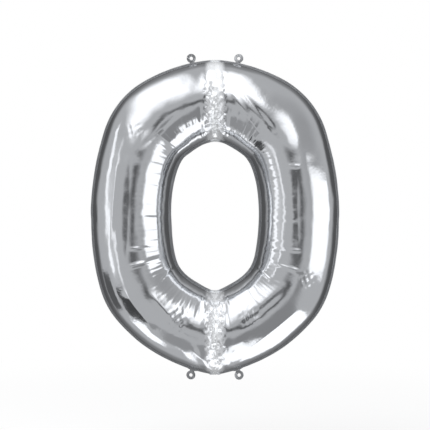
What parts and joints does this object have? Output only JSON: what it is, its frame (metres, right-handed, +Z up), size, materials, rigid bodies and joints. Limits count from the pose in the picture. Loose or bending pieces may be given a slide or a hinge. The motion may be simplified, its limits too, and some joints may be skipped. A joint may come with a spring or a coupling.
{
  "type": "foil number balloon",
  "caption": "Silver mirror-foil balloon in the shape of the numeral zero: an inflated closed ring with welded seams, ring tabs and a fill tail with a flat valve.",
  "frame": {"origin": "middle of the hanging line, halfway between the holes of the two top tabs", "axes": "+X to the right seen from the front, +Y away from the front, +Z up; the balloon lies in the XZ plane"},
  "size_m": [0.678, 0.206, 0.8953],
  "materials": {
    "panel_film": "mirror-bright metallised nylon film, finely creased",
    "welded_film": "metallised film, heat-sealed double layer, finely puckered",
    "tab_film": "metallised film, flat and slightly curled",
    "tail_film": "metallised film, flat and lightly creased",
    "valve_film": "clear soft polyethylene film"
  },
  "bodies": {
    "balloon": {"front_panel": "panel_film", "back_panel": "panel_film", "outer_seam": "welded_film", "inner_seam": "welded_film"},
    "tab_top_left": {"hanging_tab_top_left": "tab_film"},
    "tab_top_right": {"hanging_tab_top_right": "tab_film"},
    "tab_bottom_left": {"hanging_tab_bottom_left": "tab_film"},
    "tab_bottom_right": {"hanging_tab_bottom_right": "tab_film"},
    "fill_tail": {"fill_tail_front": "tail_film", "fill_tail_back": "tail_film"},
    "valve_front_leaf": {"valve_film_front": "valve_film"},
    "valve_back_leaf": {"valve_film_back": "valve_film"}
  },
  "joints": [
    {"name": "fold_tab_top_left", "type": "hinge", "parent": "balloon", "child": "tab_top_left", "pos_m": [-0.06221, 0, -0.01418], "axis": [0.9781, 0, 0.2082], "range_deg": [-90, 90], "stiffness_Nm_per_rad": 0.0001},
    {"name": "fold_tab_top_right", "type": "hinge", "parent": "balloon", "child": "tab_top_right", "pos_m": [0.06221, 0, -0.01418], "axis": [0.9781, 0, -0.2082], "range_deg": [-90, 90], "stiffness_Nm_per_rad": 0.0001},
    {"name": "fold_tab_bottom_left", "type": "hinge", "parent": "balloon", "child": "tab_bottom_left", "pos_m": [-0.06228, 0, -0.85633], "axis": [-0.9607, 0, 0.2775], "range_deg": [-90, 90], "stiffness_Nm_per_rad": 0.0001},
    {"name": "fold_tab_bottom_right", "type": "hinge", "parent": "balloon", "child": "tab_bottom_right", "pos_m": [0.06228, 0, -0.85633], "axis": [-0.9607, 0, -0.2775], "range_deg": [-90, 90], "stiffness_Nm_per_rad": 0.0001},
    {"name": "fold_fill_tail", "type": "hinge", "parent": "balloon", "child": "fill_tail", "pos_m": [0, 0, -0.86896], "axis": [-1, 0, 0], "range_deg": [0, 110], "stiffness_Nm_per_rad": 0.0015},
    {"name": "open_valve_front", "type": "hinge", "parent": "balloon", "child": "valve_front_leaf", "pos_m": [0, -0.0005, -0.85636], "axis": [1, 0, 0], "range_deg": [0, 4], "stiffness_Nm_per_rad": 0.002},
    {"name": "open_valve_back", "type": "hinge", "parent": "balloon", "child": "valve_back_leaf", "pos_m": [0, 0.0005, -0.85636], "axis": [1, 0, 0], "range_deg": [-4, 0], "stiffness_Nm_per_rad": 0.002}
  ],
  "couplings": [
    {"joint": "open_valve_back", "follows": "open_valve_front", "ratio": -1}
  ]
}
